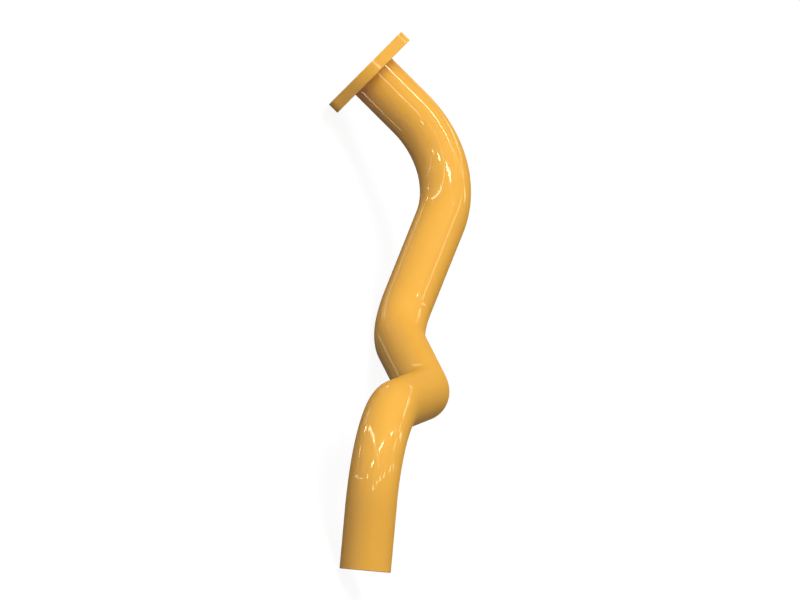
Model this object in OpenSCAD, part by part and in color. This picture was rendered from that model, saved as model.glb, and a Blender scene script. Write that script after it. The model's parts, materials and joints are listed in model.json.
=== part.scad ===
// Bent tube assembly: a two-inch steel line with four bends in space, brazed into a four-bolt flange.
// The line is read from the flange outwards as a bending table: a straight run, a turn of the bending
// plane about that run, then a bend, and so on to the plain free end, where a hose is clamped.
// The origin is the centre of the sealing face. The assembly lies as it comes to rest, on the rim of
// the flange, the outside of the second bend and the lip of the free end.

/* [Tube] */
// Outside diameter of the tube
tube_od = 50.8; // [45:0.1:56]
// Wall thickness of the tube
tube_wall = 2.5; // [1.6:0.1:4]
// Radius of every bend, at the middle of the tube
bend_radius = 101.6; // [80:0.1:140]
// How far the wall draws in on each of its faces through a bend
bend_thinning = 0.15; // [0.12:0.01:0.3]
// Width of the broken edges of the free end
end_chamfer = 0.6; // [0.2:0.1:0.7]

/* [Straight runs] */
// Run from the sealing face to the first bend
run_1 = 63; // [30:0.5:120]
// Run from the first bend to the second
run_2 = 103.5; // [40:0.5:200]
// Run from the second bend to the third
run_3 = 124.5; // [40:0.5:200]
// Run from the third bend to the fourth
run_4 = 126.5; // [40:0.5:200]
// Run from the fourth bend to the free end, which the hose slides over
run_5 = 64; // [40:0.5:120]

/* [Bends] */
// Angle of the first bend
bend_1 = 71.2; // [20:0.1:90]
// Angle of the second bend
bend_2 = 43.6; // [10:0.1:90]
// Angle of the third bend
bend_3 = 24.7; // [10:0.1:90]
// Angle of the fourth bend
bend_4 = 84.9; // [20:0.1:90]

/* [Turns of the bending plane] */
// Turn from the long side of the flange to the first bend
turn_1 = 143.1; // [-180:0.1:180]
// Turn from the first bend to the second
turn_2 = -99.2; // [-180:0.1:180]
// Turn from the second bend to the third
turn_3 = 92.7; // [-180:0.1:180]
// Turn from the third bend to the fourth
turn_4 = 121.6; // [-180:0.1:180]

/* [Flange] */
// Thickness of the flange
flange_thickness = 12; // [9:0.5:20]
// Width of the flange across its short side, over the two middle arcs
flange_width = 96; // [86:1:106]
// Bolt spacing along the long side
bolt_spacing_long = 77.8; // [70:0.1:90]
// Bolt spacing along the short side
bolt_spacing_short = 42.9; // [38:0.1:50]
// Diameter of each bolt hole
bolt_hole = 13.5; // [10:0.1:16]
// Material left between a bolt hole and the rim
bolt_rim = 4.85; // [3:0.05:8]

/* [Bore, tube seat and seal groove] */
// Diameter of the bore in the sealing face
flange_bore = 44.5; // [40:0.1:45]
// Thickness of the shoulder that the end of the tube stands on
seat_shoulder = 4; // [3:0.5:6]
// Gap round the tube in its seat, which the brazing metal fills
braze_gap = 0.05; // [0.03:0.01:0.15]
// Land between the bore and the seal groove
groove_land = 4.6; // [2:0.1:6]
// Width of the seal groove
groove_width = 4.9; // [3:0.1:6]
// Depth of the seal groove
groove_depth = 2.8; // [1.5:0.1:3]

/* [Resting attitude] */
// First turn to the attitude of rest, about the long side of the flange
lie_roll = 36.25; // [-180:0.05:180]
// Second turn to the attitude of rest, about the cross axis
lie_pitch = -61.95; // [-90:0.05:90]
// Third turn to the attitude of rest, about the vertical
lie_yaw = -156.3; // [-180:0.05:180]

/* [Hidden] */
$fn = 96;
paint = [0.95, 0.69, 0.29];

tube_bore = tube_od - 2 * tube_wall;
runs = [run_1 - seat_shoulder, run_2, run_3, run_4, run_5];
bends = [bend_1, bend_2, bend_3, bend_4];
turns = [turn_1, turn_2, turn_3, turn_4];
// Part of a bend's arc, in degrees, that laps inside each straight run
bend_lap = 0.5;

corner_radius = bolt_hole / 2 + bolt_rim;
middle_radius = flange_width / 2;
bolt_centre = [bolt_spacing_long, bolt_spacing_short] / 2;
bolt_centres = [for (x = [-1, 1], y = [-1, 1]) [x * bolt_centre.x, y * bolt_centre.y]];
// Direction of the flats that run from the middle arcs to the corner arcs
flat_angle = atan2(bolt_centre.y, bolt_centre.x)
    + acos((middle_radius - corner_radius) / norm(bolt_centre));
// How far the flats sit inside the arcs that they join
flat_inset = 0.02;
// Length by which a cut runs past the face that it opens
overcut = 1;

function along(angle) = [cos(angle), sin(angle)];

// The assembly's own frame, with the tube leaving along +Z, turned to its attitude of rest
module at_rest() {
    rotate([lie_roll, lie_pitch, lie_yaw])
        children();
}

// Section of the tube, with its wall drawn in from both faces
module section(draw_in = 0) {
    difference() {
        circle(d = tube_od - 2 * draw_in);
        circle(d = tube_bore + 2 * draw_in);
    }
}

// One bend, which leaves the origin along +Z and curves towards +X
module elbow(angle) {
    translate([bend_radius, 0, 0])
        rotate([-90, 0, 0])
            rotate_extrude(angle = angle + 2 * bend_lap, start = 180 - bend_lap)
                translate([bend_radius, 0])
                    section(bend_thinning);
}

// Carries what follows to the far end of a bend
module past_elbow(angle) {
    translate([bend_radius, 0, 0])
        rotate([0, angle, 0])
            translate([-bend_radius, 0, 0])
                children();
}

// The last run, sawn square, with the edges of its lip broken inside and out
module free_run(length) {
    outer = tube_od / 2;
    inner = tube_bore / 2;
    rotate_extrude()
        polygon([
            [inner, 0],
            [outer, 0],
            [outer, length - end_chamfer],
            [outer - end_chamfer, length],
            [inner + end_chamfer, length],
            [inner, length - end_chamfer]
        ]);
}

// The line from one run of the bending table to the free end
module line_from(step) {
    if (step == len(bends)) {
        free_run(runs[step]);
    } else {
        linear_extrude(runs[step])
            section();
        translate([0, 0, runs[step]])
            rotate([0, 0, turns[step]]) {
                elbow(bends[step]);
                past_elbow(bends[step])
                    line_from(step + 1);
            }
    }
}

module bent_tube() {
    color(paint)
        at_rest()
            translate([0, 0, seat_shoulder])
                line_from(0);
}

// Outline of the flange: two wide middle arcs, an arc round each bolt hole, and the flats that join them
module flange_outline() {
    quarter = [
        [bolt_centre.x + corner_radius - flat_inset, bolt_centre.y],
        bolt_centre + (corner_radius - flat_inset) * along(flat_angle),
        (middle_radius - flat_inset) * along(flat_angle)
    ];
    half = concat(quarter, [for (i = [2, 1, 0]) [-quarter[i].x, quarter[i].y]]);
    circle(r = middle_radius);
    for (centre = bolt_centres)
        translate(centre)
            circle(r = corner_radius);
    polygon(concat(half, [for (point = half) -point]));
}

// Groove for the round seal, sunk in the sealing face
module seal_groove() {
    inner = flange_bore / 2 + groove_land;
    translate([0, 0, -overcut])
        linear_extrude(groove_depth + overcut)
            difference() {
                circle(r = inner + groove_width);
                circle(r = inner);
            }
}

module flange() {
    through = flange_thickness + 2 * overcut;
    color(paint)
        at_rest()
            difference() {
                linear_extrude(flange_thickness)
                    flange_outline();
                translate([0, 0, -overcut])
                    cylinder(d = flange_bore, h = through);
                translate([0, 0, seat_shoulder])
                    cylinder(d = tube_od + 2 * braze_gap, h = through);
                for (centre = bolt_centres)
                    translate([centre.x, centre.y, -overcut])
                        cylinder(d = bolt_hole, h = through);
                seal_groove();
            }
}

bent_tube();
flange();
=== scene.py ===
import json
import math

import bmesh
import bpy
from mathutils import Matrix, Vector


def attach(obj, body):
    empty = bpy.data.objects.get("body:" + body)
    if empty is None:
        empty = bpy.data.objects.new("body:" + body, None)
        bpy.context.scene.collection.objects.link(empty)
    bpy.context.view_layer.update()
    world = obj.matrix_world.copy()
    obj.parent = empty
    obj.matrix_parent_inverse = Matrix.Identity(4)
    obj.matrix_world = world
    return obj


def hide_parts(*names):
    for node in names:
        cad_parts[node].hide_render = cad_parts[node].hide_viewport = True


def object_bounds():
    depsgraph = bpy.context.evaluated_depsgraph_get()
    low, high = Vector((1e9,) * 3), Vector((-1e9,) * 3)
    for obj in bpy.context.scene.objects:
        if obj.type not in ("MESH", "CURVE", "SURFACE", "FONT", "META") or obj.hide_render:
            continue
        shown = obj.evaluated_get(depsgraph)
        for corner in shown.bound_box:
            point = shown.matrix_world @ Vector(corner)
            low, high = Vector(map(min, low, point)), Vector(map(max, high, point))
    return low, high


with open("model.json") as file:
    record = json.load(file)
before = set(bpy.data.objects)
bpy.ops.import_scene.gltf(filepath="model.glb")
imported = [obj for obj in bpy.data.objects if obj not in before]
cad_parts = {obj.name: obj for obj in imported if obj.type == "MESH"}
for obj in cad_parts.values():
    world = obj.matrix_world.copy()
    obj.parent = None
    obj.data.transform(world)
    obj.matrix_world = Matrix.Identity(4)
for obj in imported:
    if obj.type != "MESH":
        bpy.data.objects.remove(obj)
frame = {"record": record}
cad_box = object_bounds()


# Flange: a steel plate cut to the outline of a four-bolt hydraulic flange, with its edges broken.
# It is bored for the line, counterbored from behind as the tube's seat, and faced and grooved for a round
# seal on the side that bolts to the machine. The rim, the back and the bolt holes are enamelled.
mounts = {mount["name"]: mount for mount in frame["record"]["mounts"]}
bolt_1 = Vector(mounts["bolt_hole_1"]["pos_m"])
bolt_3 = Vector(mounts["bolt_hole_3"]["pos_m"])
line_out = -Vector(mounts["port"]["axis"]).normalized()
long_side = (bolt_3 - bolt_1).normalized()
short_side = line_out.cross(long_side)
# Turns a shape drawn on the flange's own axes to the attitude in which the assembly lies
at_rest = Matrix((long_side, short_side, line_out)).transposed().to_4x4()

# Sizes in metres
plate_thickness = 0.012
plate_middle_radius = 0.048
plate_corner_radius = 0.0116
bolt_long = 0.0389
bolt_short = 0.02145
bolt_hole_radius = 0.00675
bore_radius = 0.02225
seat_radius = 0.02545
seat_shoulder = 0.004
groove_inner_radius = 0.02685
groove_outer_radius = 0.03175
groove_depth = 0.0028
edge_round = 0.0004
edge_round_steps = 3
arc_steps = 18
hole_segments = 40
bore_segments = 96
weld_distance = 0.00001
sharp_corner = math.radians(40)
# Direction of the flats that run from the middle arcs to the corner arcs
flat_angle = math.atan2(bolt_short, bolt_long) + math.acos(
    (plate_middle_radius - plate_corner_radius) / math.hypot(bolt_long, bolt_short)
)


def verts_of(geometry):
    return [item for item in geometry if isinstance(item, bmesh.types.BMVert)]


def edges_of(geometry):
    return [item for item in geometry if isinstance(item, bmesh.types.BMEdge)]


def circle_edges(verts):
    """The edges of one circle, each of them once."""
    return list(dict.fromkeys(edge for vert in verts for edge in vert.link_edges))


def rim_loop(plate, inset, height):
    """One closed loop round the plate: an arc at each bolt hole, two middle arcs, and flats between."""
    kept = set(plate.verts)
    kept_edges = set(plate.edges)
    start = plate.verts.new((bolt_long + plate_corner_radius - inset, bolt_short, height))
    corner = bmesh.ops.spin(
        plate,
        geom=[start],
        cent=(bolt_long, bolt_short, height),
        axis=(0, 0, 1),
        angle=flat_angle,
        steps=arc_steps,
    )
    flat = bmesh.ops.extrude_vert_indiv(plate, verts=verts_of(corner["geom_last"]))
    tangent = (plate_middle_radius - inset) * Vector((math.cos(flat_angle), math.sin(flat_angle), 0))
    flat["verts"][0].co = tangent + Vector((0, 0, height))
    bmesh.ops.spin(
        plate,
        geom=flat["verts"],
        cent=(0, 0, height),
        axis=(0, 0, 1),
        angle=math.pi / 2 - flat_angle,
        steps=arc_steps,
    )
    for axis in ("X", "Y"):
        quarter = [item for item in plate.verts if item not in kept]
        quarter += [item for item in plate.edges if item not in kept_edges]
        bmesh.ops.mirror(plate, geom=quarter, merge_dist=weld_distance, axis=axis)
    # A straight edge joins the two corner arcs at each short end
    ends = [item for item in plate.verts if item not in kept and len(item.link_edges) == 1]
    for side in (1, -1):
        pair = [item for item in ends if item.co.x * side > 0]
        plate.edges.new(pair)
    return [item for item in plate.edges if item not in kept_edges]


def turned_loops(plate, centre, profile, segments):
    """A turned surface: the first circle of the profile, carried through its other radii and heights."""
    first_radius, first_height = profile[0]
    circle = bmesh.ops.create_circle(plate, segments=segments, radius=first_radius)
    bmesh.ops.translate(plate, verts=circle["verts"], vec=(centre[0], centre[1], first_height))
    loop = circle_edges(circle["verts"])
    first_loop = loop
    for (radius, height), (last_radius, last_height) in zip(profile[1:], profile):
        step = bmesh.ops.extrude_edge_only(plate, edges=loop)
        loop = edges_of(step["geom"])
        moved = verts_of(step["geom"])
        to_axis = Matrix.Translation((-centre[0], -centre[1], -last_height))
        scale = radius / last_radius
        bmesh.ops.scale(plate, vec=(scale, scale, 1), space=to_axis, verts=moved)
        bmesh.ops.translate(plate, vec=(0, 0, height - last_height), verts=moved)
    return first_loop, loop


plate = bmesh.new()
rim_profile = []
for step in range(edge_round_steps + 1):
    turn = math.pi / 2 * step / edge_round_steps
    rim_profile.append((edge_round * (1 - math.sin(turn)), edge_round * (1 - math.cos(turn))))
rim_profile += [(inset, plate_thickness - height) for inset, height in reversed(rim_profile)]
rims = [rim_loop(plate, inset, height) for inset, height in rim_profile]
for lower, upper in zip(rims, rims[1:]):
    bmesh.ops.bridge_loops(plate, edges=lower + upper)

front_loops = list(rims[0])
back_loops = list(rims[-1])
hole_profile = [
    (bolt_hole_radius + edge_round, 0),
    (bolt_hole_radius, edge_round),
    (bolt_hole_radius, plate_thickness - edge_round),
    (bolt_hole_radius + edge_round, plate_thickness),
]
for x_side in (1, -1):
    for y_side in (1, -1):
        centre = (x_side * bolt_long, y_side * bolt_short)
        front, back = turned_loops(plate, centre, hole_profile, hole_segments)
        front_loops += front
        back_loops += back
# From the groove's outer wall inwards to the bore, and from there up through the tube's seat
bore_profile = [
    (groove_outer_radius, 0),
    (groove_outer_radius, groove_depth),
    (groove_inner_radius, groove_depth),
    (groove_inner_radius, 0),
    (bore_radius, 0),
    (bore_radius, seat_shoulder),
    (seat_radius, seat_shoulder),
    (seat_radius, plate_thickness),
]
front, back = turned_loops(plate, (0, 0), bore_profile, bore_segments)
bmesh.ops.triangle_fill(plate, use_beauty=True, edges=front_loops + front)
bmesh.ops.triangle_fill(plate, use_beauty=True, edges=back_loops + back)
bmesh.ops.recalc_face_normals(plate, faces=plate.faces)

# The faced side, its groove and the bore are left bare
faced_height = edge_round / 10
bare_reach = groove_outer_radius + edge_round
bare_height = plate_thickness - edge_round
for face in plate.faces:
    middle = face.calc_center_median()
    faced = middle.z < faced_height
    turned = math.hypot(middle.x, middle.y) < bare_reach and middle.z < bare_height
    face.material_index = 1 if faced or turned else 0
    face.smooth = True


def finished_piece(shape, name, materials):
    """The shape as an object at its place in the assembly, with sharp corners kept sharp."""
    bmesh.ops.transform(shape, matrix=at_rest, verts=shape.verts)
    mesh = bpy.data.meshes.new(name)
    shape.to_mesh(mesh)
    shape.free()
    for material in materials:
        mesh.materials.append(material)
    mesh.set_sharp_from_angle(angle=sharp_corner)
    piece = bpy.data.objects.new(name, mesh)
    normals = piece.modifiers.new("flat faces stay flat", "WEIGHTED_NORMAL")
    normals.keep_sharp = True
    bpy.context.scene.collection.objects.link(piece)
    return piece


def uneven_finish(name, patch_scale, patch_detail, tones, roughness):
    """A finish whose colour and roughness drift between two values, in soft patches over the piece."""
    material = bpy.data.materials.new(name)
    material.use_nodes = True
    nodes = material.node_tree.nodes
    links = material.node_tree.links
    shader = nodes["Principled BSDF"]
    place = nodes.new("ShaderNodeTexCoord")
    patches = nodes.new("ShaderNodeTexNoise")
    patches.inputs["Scale"].default_value = patch_scale
    patches.inputs["Detail"].default_value = patch_detail
    links.new(place.outputs["Object"], patches.inputs["Vector"])
    tone = nodes.new("ShaderNodeMix")
    tone.data_type = "RGBA"
    tone.inputs["A"].default_value = (*tones[0], 1)
    tone.inputs["B"].default_value = (*tones[1], 1)
    links.new(patches.outputs["Fac"], tone.inputs["Factor"])
    links.new(tone.outputs["Result"], shader.inputs["Base Color"])
    polish = nodes.new("ShaderNodeMapRange")
    polish.inputs["To Min"].default_value = roughness[0]
    polish.inputs["To Max"].default_value = roughness[1]
    links.new(patches.outputs["Fac"], polish.inputs["Value"])
    links.new(polish.outputs["Result"], shader.inputs["Roughness"])
    return material


def enamel(name):
    """Yellow-orange machine enamel, sprayed, with a trace of uneven cover under a thin clear gloss."""
    tones = ((0.870, 0.440, 0.064), (0.900, 0.462, 0.070))
    material = uneven_finish(name, patch_scale=14, patch_detail=3, tones=tones, roughness=(0.22, 0.30))
    shader = material.node_tree.nodes["Principled BSDF"]
    shader.inputs["Specular IOR Level"].default_value = 0
    shader.inputs["Coat Weight"].default_value = 0.065
    shader.inputs["Coat IOR"].default_value = 4
    shader.inputs["Coat Roughness"].default_value = 0.085
    return material


def turned_steel(name):
    """Bare steel, faced in a lathe: fine rings round the bore, and a little dulling from handling."""
    tones = ((0.42, 0.41, 0.39), (0.58, 0.57, 0.55))
    material = uneven_finish(name, patch_scale=55, patch_detail=4, tones=tones, roughness=(0.26, 0.42))
    nodes = material.node_tree.nodes
    links = material.node_tree.links
    shader = nodes["Principled BSDF"]
    shader.inputs["Metallic"].default_value = 1
    place = nodes.new("ShaderNodeTexCoord")
    to_flange = nodes.new("ShaderNodeMapping")
    to_flange.inputs["Rotation"].default_value = at_rest.inverted().to_euler()
    links.new(place.outputs["Object"], to_flange.inputs["Vector"])
    rings = nodes.new("ShaderNodeTexWave")
    rings.wave_type = "RINGS"
    rings.rings_direction = "Z"
    rings.inputs["Scale"].default_value = 700
    rings.inputs["Distortion"].default_value = 0.6
    rings.inputs["Detail Scale"].default_value = 0.5
    links.new(to_flange.outputs["Vector"], rings.inputs["Vector"])
    marks = nodes.new("ShaderNodeBump")
    marks.inputs["Strength"].default_value = 0.25
    marks.inputs["Distance"].default_value = 0.00003
    links.new(rings.outputs["Fac"], marks.inputs["Height"])
    links.new(marks.outputs["Normal"], shader.inputs["Normal"])
    return material


flange = finished_piece(plate, "flange_plate", [enamel("flange_enamel"), turned_steel("faced_steel")])
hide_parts("flange")
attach(flange, "root")


# Tube: one length of two-inch steel tube, bent cold four times round the same former and sawn square.
# Its first end stands on the shoulder inside the flange and is brazed there. The outside is enamelled with
# the flange, the lip of the free end has its edges broken, and the inside is bare drawn steel.

# Sizes in metres, and the turns of the bending plane and the bends in degrees
tube_radius = 0.0254
tube_bore_radius = 0.0229
bend_radius = 0.1016
bend_thinning = 0.00015
lip_break = 0.0006
runs = (0.059, 0.1035, 0.1245, 0.1265, 0.064)
turns = (143.1, -99.2, 92.7, 121.6)
bends = (71.2, 43.6, 24.7, 84.9)
tube_segments = 96
run_steps = 8
degrees_per_step = 1.5
thinning_steps = 6


def carried(tube, loop, move, scale=1):
    """Carries one loop of the wall on by a move and a change of size, and returns the loop it ends in."""
    step = bmesh.ops.extrude_edge_only(tube, edges=loop)
    ring = verts_of(step["geom"])
    middle = sum((vert.co for vert in ring), Vector()) / len(ring)
    bmesh.ops.scale(tube, vec=(scale, scale, scale), space=Matrix.Translation(-middle), verts=ring)
    bmesh.ops.transform(tube, matrix=move, verts=ring)
    return edges_of(step["geom"])


def straight_run(tube, loop, along, length):
    """Carries one loop of the wall along a straight run."""
    for _ in range(run_steps):
        loop = carried(tube, loop, Matrix.Translation(along * length / run_steps))
    return loop


def drawn_in(step, steps):
    """Share of the wall's thinning at one step of a bend, which comes and goes smoothly at its ends."""
    share = min(step / thinning_steps, (steps - step) / thinning_steps, 1)
    return share * share * (3 - 2 * share)


def wall_face(tube, radius, inwards):
    """One face of the wall, from the seat through the bending table to the broken edge of the lip."""
    end_of_line = Matrix.Translation((0, 0, seat_shoulder))
    former = Matrix.Translation((bend_radius, 0, 0))
    ring = bmesh.ops.create_circle(tube, segments=tube_segments, radius=radius, matrix=end_of_line)
    loop = circle_edges(ring["verts"])
    seat_loop = loop
    for run, turn, bend in zip(runs, turns, bends):
        loop = straight_run(tube, loop, end_of_line.col[2].to_3d(), run)
        end_of_line = end_of_line @ Matrix.Translation((0, 0, run))
        end_of_line = end_of_line @ Matrix.Rotation(math.radians(turn), 4, "Z")
        steps = round(bend / degrees_per_step)
        # One step of the bend, about the axis of the former
        bend_step = Matrix.Rotation(math.radians(bend) / steps, 4, "Y")
        round_former = end_of_line @ former @ bend_step @ former.inverted() @ end_of_line.inverted()
        now_radius = radius
        for step in range(1, steps + 1):
            next_radius = radius + inwards * bend_thinning * drawn_in(step, steps)
            loop = carried(tube, loop, round_former, next_radius / now_radius)
            now_radius = next_radius
        bent = Matrix.Rotation(math.radians(bend), 4, "Y")
        end_of_line = end_of_line @ former @ bent @ former.inverted()
    along = end_of_line.col[2].to_3d()
    loop = straight_run(tube, loop, along, runs[-1] - lip_break)
    lip_loop = carried(tube, loop, Matrix.Translation(along * lip_break), 1 + inwards * lip_break / radius)
    return seat_loop, lip_loop


tube = bmesh.new()
wall_face(tube, tube_bore_radius, 1)
for face in tube.faces:
    face.material_index = 1
outer_seat, outer_lip = wall_face(tube, tube_radius, -1)
# The two ends of the wall, from its outer face to its inner face
carried(tube, outer_seat, Matrix.Identity(4), tube_bore_radius / tube_radius)
carried(tube, outer_lip, Matrix.Identity(4), (tube_bore_radius + lip_break) / (tube_radius - lip_break))
bmesh.ops.remove_doubles(tube, verts=tube.verts, dist=weld_distance)
bmesh.ops.recalc_face_normals(tube, faces=tube.faces)
for face in tube.faces:
    face.smooth = True


def drawn_steel(name):
    """Bare steel inside the tube, dull grey from the mill, with a trace of staining."""
    tones = ((0.20, 0.195, 0.19), (0.34, 0.33, 0.32))
    material = uneven_finish(name, patch_scale=90, patch_detail=5, tones=tones, roughness=(0.38, 0.55))
    shader = material.node_tree.nodes["Principled BSDF"]
    shader.inputs["Metallic"].default_value = 1
    return material


line = finished_piece(tube, "tube_line", [enamel("tube_enamel"), drawn_steel("bore_steel")])
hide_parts("bent_tube")
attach(line, "root")


# Floor: a sheet of white paper under the assembly, as wide as the light reaches.
# It is the white ground of the picture, and it keeps the soft shadow of what lies on it. The gloss looks
# through it to the low lamps, and the air below it gives the gloss the paper's white instead.
floor_half = 45
paper_grey = 0.12
paper_level = 0.92
floor_shape = bmesh.new()
bmesh.ops.create_grid(floor_shape, x_segments=1, y_segments=1, size=floor_half)
bmesh.ops.translate(floor_shape, vec=(0, 0, cad_box[0].z), verts=floor_shape.verts)
floor_mesh = bpy.data.meshes.new("paper_floor")
floor_shape.to_mesh(floor_mesh)
floor_shape.free()
floor = bpy.data.objects.new("paper_floor", floor_mesh)
bpy.context.scene.collection.objects.link(floor)
floor.visible_glossy = False


def either_ray(tree, first, second):
    """A socket that is 1 for a ray of either kind."""
    either = tree.nodes.new("ShaderNodeMath")
    either.operation = "MAXIMUM"
    tree.links.new(first, either.inputs[0])
    tree.links.new(second, either.inputs[1])
    return either.outputs["Value"]


paper = bpy.data.materials.new("white_paper")
paper.use_nodes = True
paper_nodes = paper.node_tree.nodes
paper_links = paper.node_tree.links
paper_nodes.clear()
paper_out = paper_nodes.new("ShaderNodeOutputMaterial")
paper_sheet = paper_nodes.new("ShaderNodeBsdfDiffuse")
paper_sheet.inputs["Color"].default_value = (paper_grey, paper_grey, paper_grey, 1)
paper_white = paper_nodes.new("ShaderNodeEmission")
paper_white.inputs["Strength"].default_value = paper_level
paper_dark = paper_nodes.new("ShaderNodeEmission")
paper_dark.inputs["Strength"].default_value = 0
paper_ray = paper_nodes.new("ShaderNodeLightPath").outputs
paper_clear = either_ray(paper.node_tree, paper_ray["Is Glossy Ray"], paper_ray["Is Transmission Ray"])
paper_seen = either_ray(paper.node_tree, paper_ray["Is Camera Ray"], paper_clear)
paper_glow = paper_nodes.new("ShaderNodeMixShader")
paper_links.new(paper_seen, paper_glow.inputs["Fac"])
paper_links.new(paper_dark.outputs["Emission"], paper_glow.inputs[1])
paper_links.new(paper_white.outputs["Emission"], paper_glow.inputs[2])
paper_sum = paper_nodes.new("ShaderNodeAddShader")
paper_links.new(paper_sheet.outputs["BSDF"], paper_sum.inputs[0])
paper_links.new(paper_glow.outputs["Shader"], paper_sum.inputs[1])
paper_links.new(paper_sum.outputs["Shader"], paper_out.inputs["Surface"])
floor_mesh.materials.append(paper)


# Light: three soft boxes to the left of the camera shade the enamel, and narrow strip lamps draw the thin
# bright lines along it. All hang far off, so that a line runs true along a straight run. The boxes aren't
# seen in the gloss, the strips light nothing but the gloss, and some of the strips lie below the floor.
scene = bpy.context.scene
scene.view_settings.view_transform = "Standard"
rig_centre = (cad_box[0] + cad_box[1]) / 2
rig_distance = 30
soft_box_size = 15
# Warm white, which keeps the thin lines cream on the orange
strip_tint = (1, 0.98, 0.77)


def bearing(azimuth, elevation):
    """Direction from the assembly to a lamp, in degrees round from +X and up from the floor."""
    level = math.cos(math.radians(elevation))
    return Vector((
        level * math.cos(math.radians(azimuth)),
        level * math.sin(math.radians(azimuth)),
        math.sin(math.radians(elevation)),
    ))


def hung_lamp(name, towards, across, length, width, radiance):
    """A flat lamp that faces the assembly, with its long side along across."""
    lamp = bpy.data.lights.new(name, "AREA")
    lamp.shape = "RECTANGLE"
    lamp.size = length
    lamp.size_y = width
    lamp.energy = radiance * math.pi * length * width
    hung = bpy.data.objects.new(name, lamp)
    side = (across - across.dot(towards) * towards).normalized()
    turned = Matrix((side, towards.cross(side), towards)).transposed().to_4x4()
    hung.matrix_world = Matrix.Translation(rig_centre + rig_distance * towards) @ turned
    scene.collection.objects.link(hung)
    return hung


def soft_box(name, azimuth, elevation, radiance):
    """A wide square lamp that shades the enamel and isn't seen in its gloss."""
    towards = bearing(azimuth, elevation)
    box = hung_lamp(name, towards, Vector((0, 0, 1)), soft_box_size, soft_box_size, radiance)
    box.visible_glossy = False


def strip_lamp(name, start, end, width, radiance):
    """A narrow lamp from one bearing to another, width degrees wide, which is seen in the gloss alone."""
    first = bearing(*start)
    last = bearing(*end)
    towards = (first + last).normalized()
    length = rig_distance * (last - first).length
    strip = hung_lamp(name, towards, last - first, length, rig_distance * math.radians(width), radiance)
    strip.data.color = strip_tint
    strip.visible_diffuse = False


soft_box("box_over_left", azimuth=-90, elevation=60, radiance=7.6)
soft_box("box_low_left", azimuth=-98, elevation=8, radiance=1.6)
soft_box("box_front_left", azimuth=-60, elevation=20, radiance=4.1)

# A row from high on the left down to the floor's level: the bright line along the first run, and the dashes
# on the first and fourth bends
strip_lamp("row_a_0", start=(-152, 68), end=(171, 66), width=2, radiance=4)
strip_lamp("row_a_1", start=(-141, 67.5), end=(-126, 65), width=3, radiance=37)
strip_lamp("row_a_2", start=(-97, 48), end=(-86, 35.5), width=3.5, radiance=43)
strip_lamp("row_a_3", start=(-77.5, 19.5), end=(-74.5, 12), width=4, radiance=40)
strip_lamp("row_a_4", start=(-70, 1), end=(-68.5, -3), width=4, radiance=29)

# A row up over the camera's side: the dots on the fourth bend
strip_lamp("row_b_1", start=(-47.5, 26), end=(-49, 21), width=3, radiance=17)
strip_lamp("row_b_2", start=(-45.5, 43), end=(-47.5, 35), width=3, radiance=11)
strip_lamp("row_b_3", start=(-42.5, 54), end=(-44.5, 48), width=3, radiance=17)
strip_lamp("row_b_4", start=(-36, 69), end=(-40.5, 64), width=3, radiance=17)
strip_lamp("row_b_5", start=(60, 85), end=(85, 81), width=3, radiance=17)
strip_lamp("row_b_6", start=(112, 73), end=(115, 67), width=3, radiance=12)

# A long strip that rises from below the floor: the arcs on the first and fourth bends
strip_lamp("long_strip", start=(-129, -18.5), end=(-97, 15), width=3.5, radiance=21)
strip_lamp("long_strip_end", start=(-97, 15), end=(-77, 34), width=3, radiance=6)
strip_lamp("long_strip_tip", start=(-77, 34), end=(-62, 44), width=4, radiance=4)

# Lamps below the floor on the left: the marks down the left of the fourth bend
strip_lamp("low_lamp", start=(-135, -25), end=(-141, -30.5), width=4, radiance=24)
strip_lamp("low_left_strip", start=(-149, -29.5), end=(-163, -24), width=3.5, radiance=8)
strip_lamp("low_dash", start=(-120, -40), end=(-130, -37), width=3.5, radiance=14)
strip_lamp("low_row_1", start=(-121, -51), end=(-96, -39.5), width=1.2, radiance=12)
strip_lamp("low_row_2", start=(-95, -39), end=(-75, -18), width=1.2, radiance=12)

# Lamps on the far side, above the floor: the marks down the right of the fourth bend
strip_lamp("far_window", start=(158.5, 50), end=(159.5, 29), width=6, radiance=9)
strip_lamp("far_window_top", start=(158, 62), end=(159, 55.5), width=5, radiance=6)
strip_lamp("far_window_low", start=(159.5, 27), end=(161, 15), width=4, radiance=3.5)
strip_lamp("far_window_foot", start=(160.5, 14), end=(162, 8.5), width=5, radiance=7)
strip_lamp("far_row", start=(149.5, 59.5), end=(136.5, 48.5), width=3, radiance=11)
strip_lamp("far_high", start=(157.5, 79), end=(156.5, 68), width=5, radiance=6)

# Lamps below the floor: the lines along the undersides of the first three runs, and two short marks
strip_lamp("under_first_run", start=(38, -61.5), end=(29, -68.5), width=2.5, radiance=24)
strip_lamp("under_second_run", start=(-166, -36), end=(-166, -28), width=3, radiance=6)
strip_lamp("under_third_run", start=(174.5, -42), end=(174.5, -35), width=2.5, radiance=5)
strip_lamp("under_far_side", start=(-173.3, -14), end=(179.7, -3.4), width=2.5, radiance=13)

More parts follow.
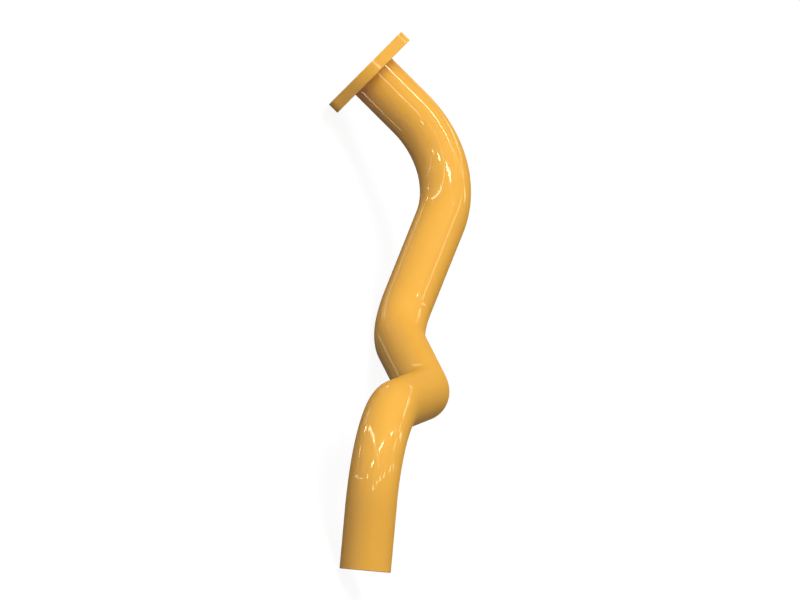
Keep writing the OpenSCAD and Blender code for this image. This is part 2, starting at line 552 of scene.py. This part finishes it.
# The air gives an even light. The camera sees it white, and so does the gloss below the horizon, in place
# of the paper, with a soft change at the horizon
air_level = 0.30
horizon_top = 0.15
horizon_bottom = -0.45
sky = bpy.data.worlds.new("studio_air")
scene.world = sky
sky.use_nodes = True
sky_nodes = sky.node_tree.nodes
sky_links = sky.node_tree.links
sky_nodes.clear()
sky_out = sky_nodes.new("ShaderNodeOutputWorld")
sky_air = sky_nodes.new("ShaderNodeBackground")
sky_air.inputs["Color"].default_value = (1, 1, 1, 1)
sky_air.inputs["Strength"].default_value = air_level
sky_white = sky_nodes.new("ShaderNodeBackground")
sky_white.inputs["Color"].default_value = (1, 1, 1, 1)
sky_place = sky_nodes.new("ShaderNodeTexCoord")
sky_height = sky_nodes.new("ShaderNodeSeparateXYZ")
sky_links.new(sky_place.outputs["Generated"], sky_height.inputs["Vector"])
sky_below = sky_nodes.new("ShaderNodeMapRange")
sky_below.interpolation_type = "SMOOTHSTEP"
sky_below.inputs["From Min"].default_value = horizon_top
sky_below.inputs["From Max"].default_value = horizon_bottom
sky_links.new(sky_height.outputs["Z"], sky_below.inputs["Value"])
sky_ray = sky_nodes.new("ShaderNodeLightPath").outputs
sky_gloss = sky_nodes.new("ShaderNodeMath")
sky_gloss.operation = "MULTIPLY"
sky_links.new(sky_ray["Is Glossy Ray"], sky_gloss.inputs[0])
sky_links.new(sky_below.outputs["Result"], sky_gloss.inputs[1])
sky_clear = either_ray(sky.node_tree, sky_gloss.outputs["Value"], sky_ray["Is Transmission Ray"])
sky_seen = either_ray(sky.node_tree, sky_ray["Is Camera Ray"], sky_clear)
sky_mix = sky_nodes.new("ShaderNodeMixShader")
sky_links.new(sky_seen, sky_mix.inputs["Fac"])
sky_links.new(sky_air.outputs["Background"], sky_mix.inputs[1])
sky_links.new(sky_white.outputs["Background"], sky_mix.inputs[2])
sky_links.new(sky_mix.outputs["Shader"], sky_out.inputs["Surface"])


# Camera: the photograph has no perspective, and looks square at the edge of the flange along its short side.
# The first run points down to the right at 45 degrees in the picture, so the camera is rolled to match.
picture_width_px = 800
picture_height_px = 600
metres_per_px = 0.0009853
first_run_slope = math.radians(44.9)
face_centre_px = (365.0, 68.0)
camera_distance = 3
picture_right = math.cos(first_run_slope) * line_out + math.sin(first_run_slope) * long_side
picture_up = math.cos(first_run_slope) * long_side - math.sin(first_run_slope) * line_out
right_of_face = (picture_width_px / 2 - face_centre_px[0]) * metres_per_px
below_face = (picture_height_px / 2 - face_centre_px[1]) * metres_per_px
picture_centre = right_of_face * picture_right - below_face * picture_up
camera_data = bpy.data.cameras.new("square_on")
camera_data.type = "ORTHO"
camera_data.ortho_scale = picture_width_px * metres_per_px
camera = bpy.data.objects.new("square_on", camera_data)
stand = Matrix.Translation(picture_centre + camera_distance * short_side)
camera.matrix_world = stand @ Matrix((picture_right, picture_up, short_side)).transposed().to_4x4()
scene.collection.objects.link(camera)
scene.camera = camera
